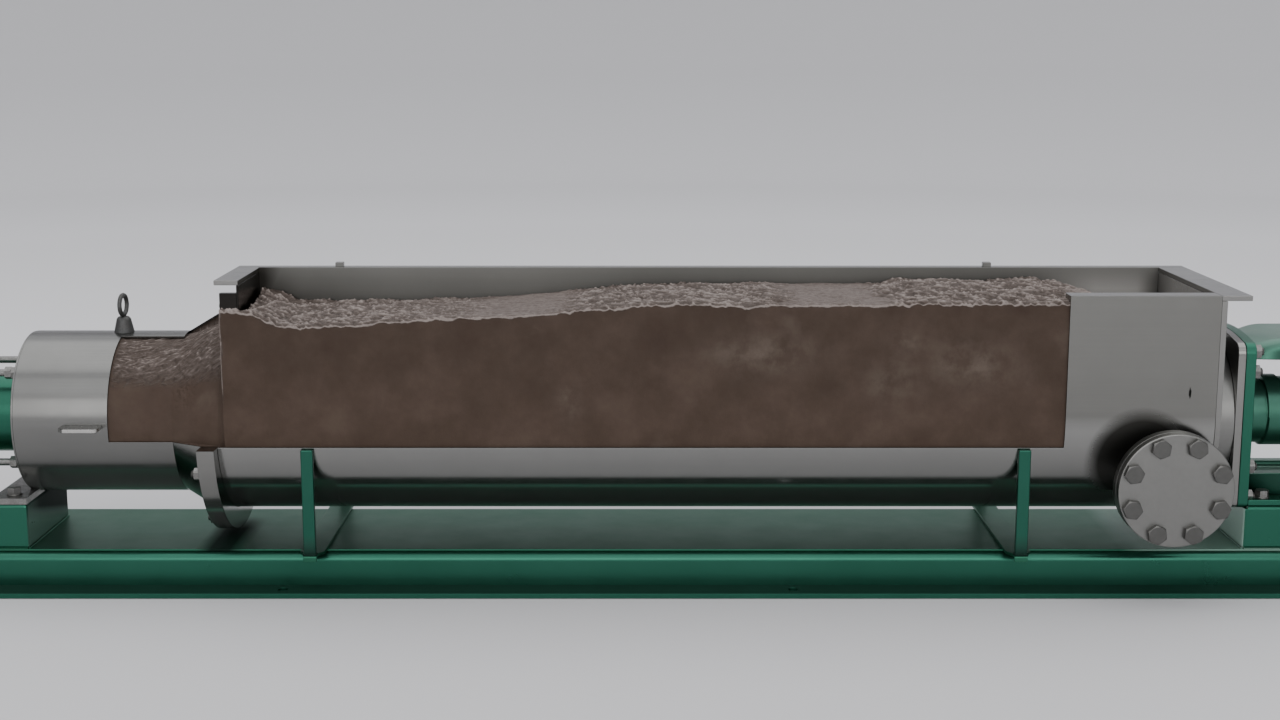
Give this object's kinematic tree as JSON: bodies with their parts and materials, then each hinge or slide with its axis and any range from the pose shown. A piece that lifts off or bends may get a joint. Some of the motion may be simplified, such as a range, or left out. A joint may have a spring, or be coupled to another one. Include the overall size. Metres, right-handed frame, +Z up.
{
  "type": "sludge cake pump",
  "caption": "Long progressing-cavity pump for sludge cake: open rimmed hopper, chamber, stator tube with tie rods, lantern and bearing on a folded base, cut open to show the cake.",
  "frame": {"origin": "middle of the base's length and width, on the underside that rests on the floor", "axes": "+X along the pump from the outlet to the drive shaft, +Y to the closed far side (the cut side is -Y), +Z up"},
  "size_m": [3.91, 0.543, 0.6017],
  "materials": {
    "green_enamel": "glossy dark blue-green enamel",
    "stainless_steel": "plain stainless steel, softly reflecting",
    "zinc_plated_steel": "zinc-plated steel, satin",
    "sludge_cake": "moist brown cake, uneven and finely wrinkled on top"
  },
  "bodies": {
    "root": {"base_end_left": "green_enamel", "base_end_right": "green_enamel", "base_rail_far": "green_enamel", "base_rail_near": "green_enamel", "base_tie_left": "green_enamel", "base_tie_middle": "green_enamel", "base_tie_right": "green_enamel", "bearing_cover": "green_enamel", "bearing_foot": "green_enamel", "bearing_housing": "green_enamel", "bearing_pedestal": "green_enamel", "chamber": "stainless_steel", "chamber_end_cap": "stainless_steel", "chamber_foot": "zinc_plated_steel", "chamber_lug_far": "stainless_steel", "chamber_lug_near": "stainless_steel", "chamber_pedestal": "green_enamel", "cone": "stainless_steel", "cross_bar_left": "green_enamel", "cross_bar_right": "green_enamel", "deck_plate": "green_enamel", "drive_collar": "stainless_steel", "drive_shaft": "stainless_steel", "end_flange": "stainless_steel", "hopper_end_left": "stainless_steel", "hopper_end_right": "stainless_steel", "hopper_wall_far": "stainless_steel", "hopper_wall_near": "stainless_steel", "lantern_bridge_bottom": "green_enamel", "lantern_bridge_top": "green_enamel", "lantern_foot_far": "green_enamel", "lantern_foot_near": "green_enamel", "lantern_front": "green_enamel", "lantern_pedestal": "green_enamel", "lantern_rear": "green_enamel", "lifting_eye": "zinc_plated_steel", "outlet": "stainless_steel", "outlet_pedestal": "green_enamel", "outlet_saddle": "zinc_plated_steel", "port_cover": "stainless_steel", "port_neck": "stainless_steel", "post_left_far": "green_enamel", "post_left_near": "green_enamel", "post_right_far": "green_enamel", "post_right_near": "green_enamel", "rim_far": "stainless_steel", "rim_left": "stainless_steel", "rim_near": "stainless_steel", "rim_right": "stainless_steel", "ring_flange_cone": "stainless_steel", "ring_flange_hopper": "stainless_steel", "sludge_in_chamber": "sludge_cake", "sludge_in_hopper": "sludge_cake", "stator": "green_enamel", "stuffing_box": "green_enamel", "tie_rod_far_bottom": "zinc_plated_steel", "tie_rod_far_top": "zinc_plated_steel", "tie_rod_near_bottom": "zinc_plated_steel", "tie_rod_near_top": "zinc_plated_steel", "trough_bottom": "stainless_steel"}
  },
  "joints": []
}
